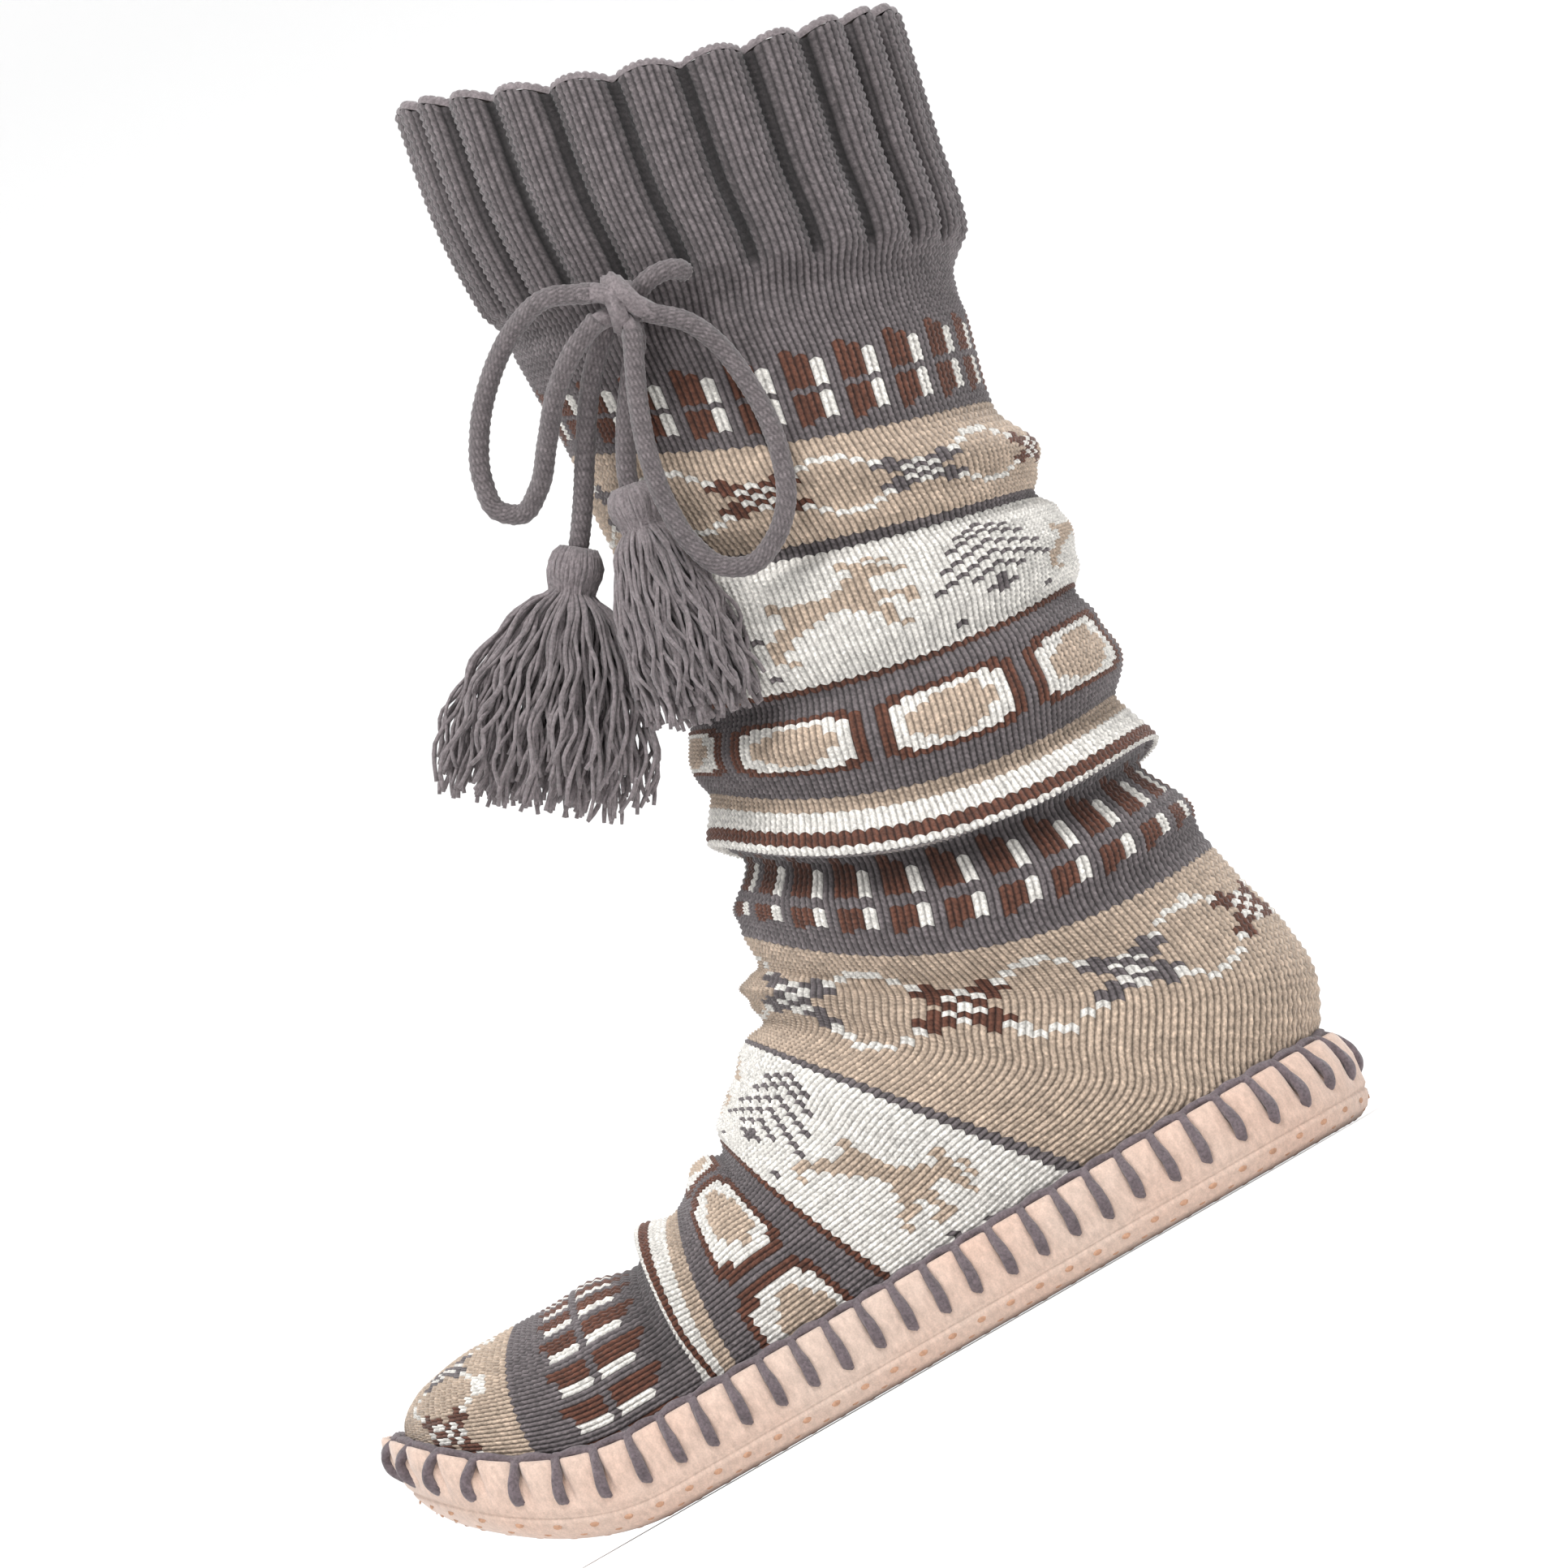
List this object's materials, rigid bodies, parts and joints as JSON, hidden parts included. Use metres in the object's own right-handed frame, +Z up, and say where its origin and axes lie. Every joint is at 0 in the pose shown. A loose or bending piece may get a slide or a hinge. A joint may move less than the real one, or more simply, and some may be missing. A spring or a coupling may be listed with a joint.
{
  "type": "knit slipper boot",
  "caption": "Slouchy knitted slipper boot with ribbed cuff, tied cord with tassels and a whip-stitched suede moccasin sole.",
  "frame": {"origin": "on the floor under the ankle, on the centre line of the heel's flat underside", "axes": "+Z up the shaft, heel towards +X and toe towards -X, outer side of the foot towards -Y"},
  "size_m": [0.2678, 0.1091, 0.3118],
  "materials": {
    "knit": "patterned wool knit in grey, brown, beige and off-white",
    "suede": "pale pinkish-beige suede with a soft nap",
    "insole": "short brushed lining",
    "cord": "matt grey wool yarn"
  },
  "bodies": {
    "root": {"upper": "knit", "sole": "suede", "insole": "insole", "cord_lead": "cord", "cord_knot": "cord", "cord_loop_front": "cord", "cord_loop_side": "cord", "cord_tail_front": "cord", "cord_tail_side": "cord", "tassel_front": "cord", "tassel_side": "cord"}
  },
  "joints": []
}
